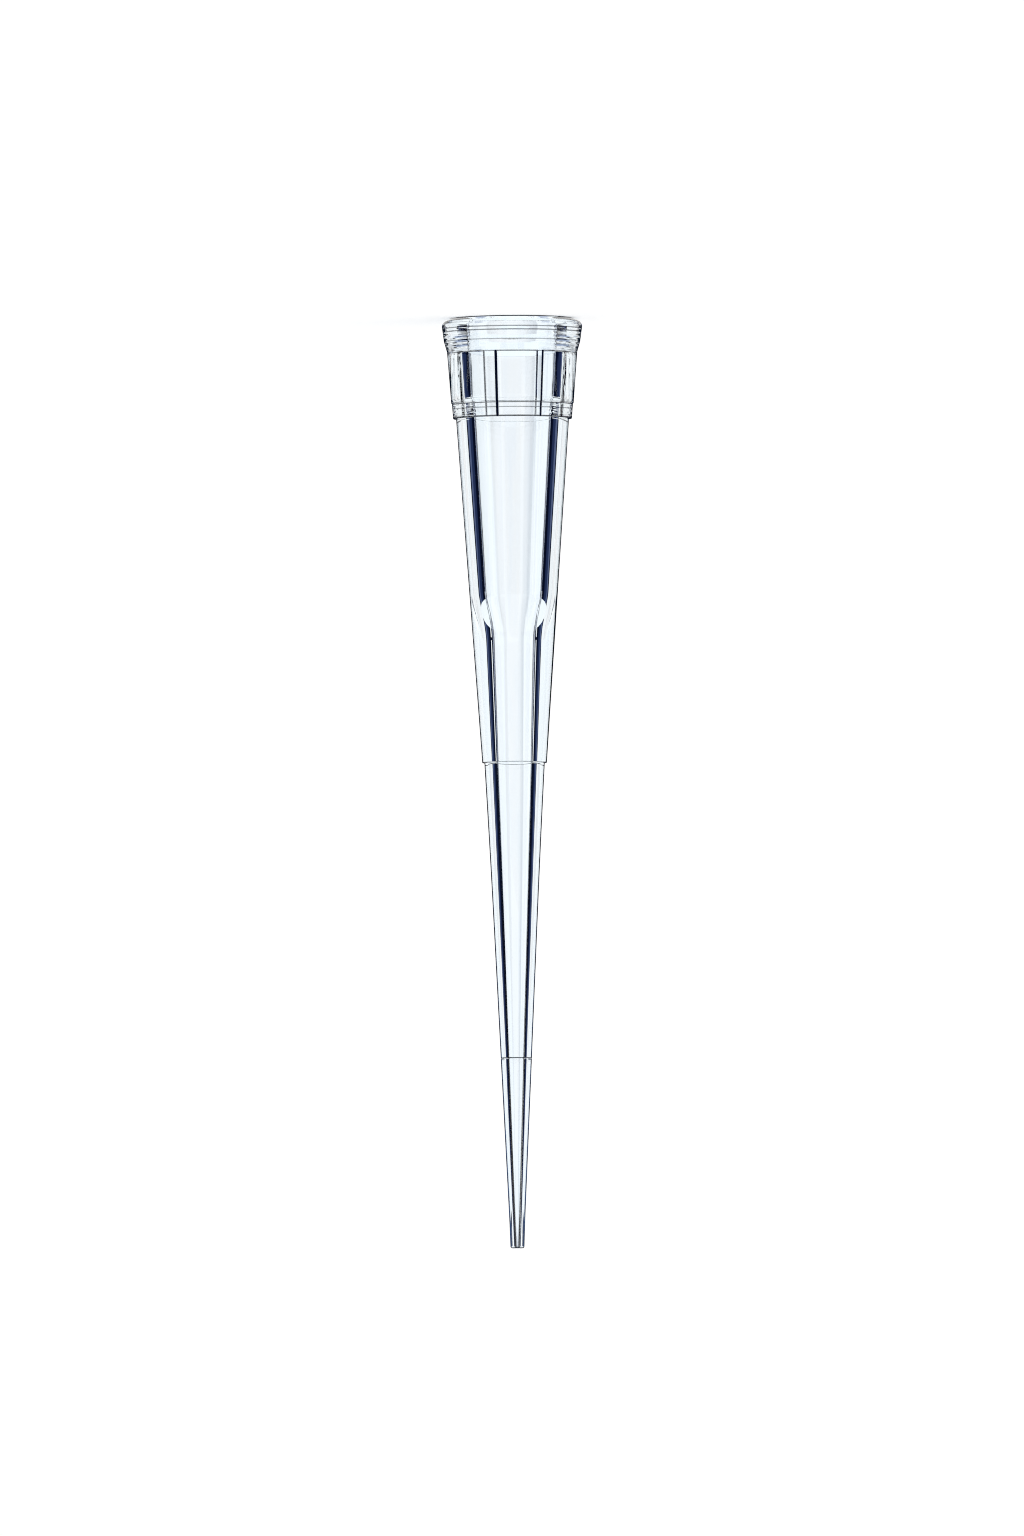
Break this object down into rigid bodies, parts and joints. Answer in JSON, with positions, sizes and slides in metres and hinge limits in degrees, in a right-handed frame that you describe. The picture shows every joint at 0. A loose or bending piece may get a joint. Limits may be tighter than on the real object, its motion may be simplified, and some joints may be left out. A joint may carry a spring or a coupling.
{
  "type": "pipette tip",
  "caption": "Slender clear pipette tip: a tapered tube with a push-fit socket in a ribbed collar at one end and a fine orifice at the other.",
  "frame": {"origin": "centre of the rim face at the socket mouth, on which the tip stands", "axes": "+Z along the axis from the socket mouth to the dispensing end; +Y away from the viewer of the front view"},
  "size_m": [0.0076, 0.0076, 0.051],
  "materials": {
    "clear_polypropylene": "clear, smooth, glossy"
  },
  "bodies": {
    "root": {"pipette_tip": "clear_polypropylene"}
  },
  "joints": []
}
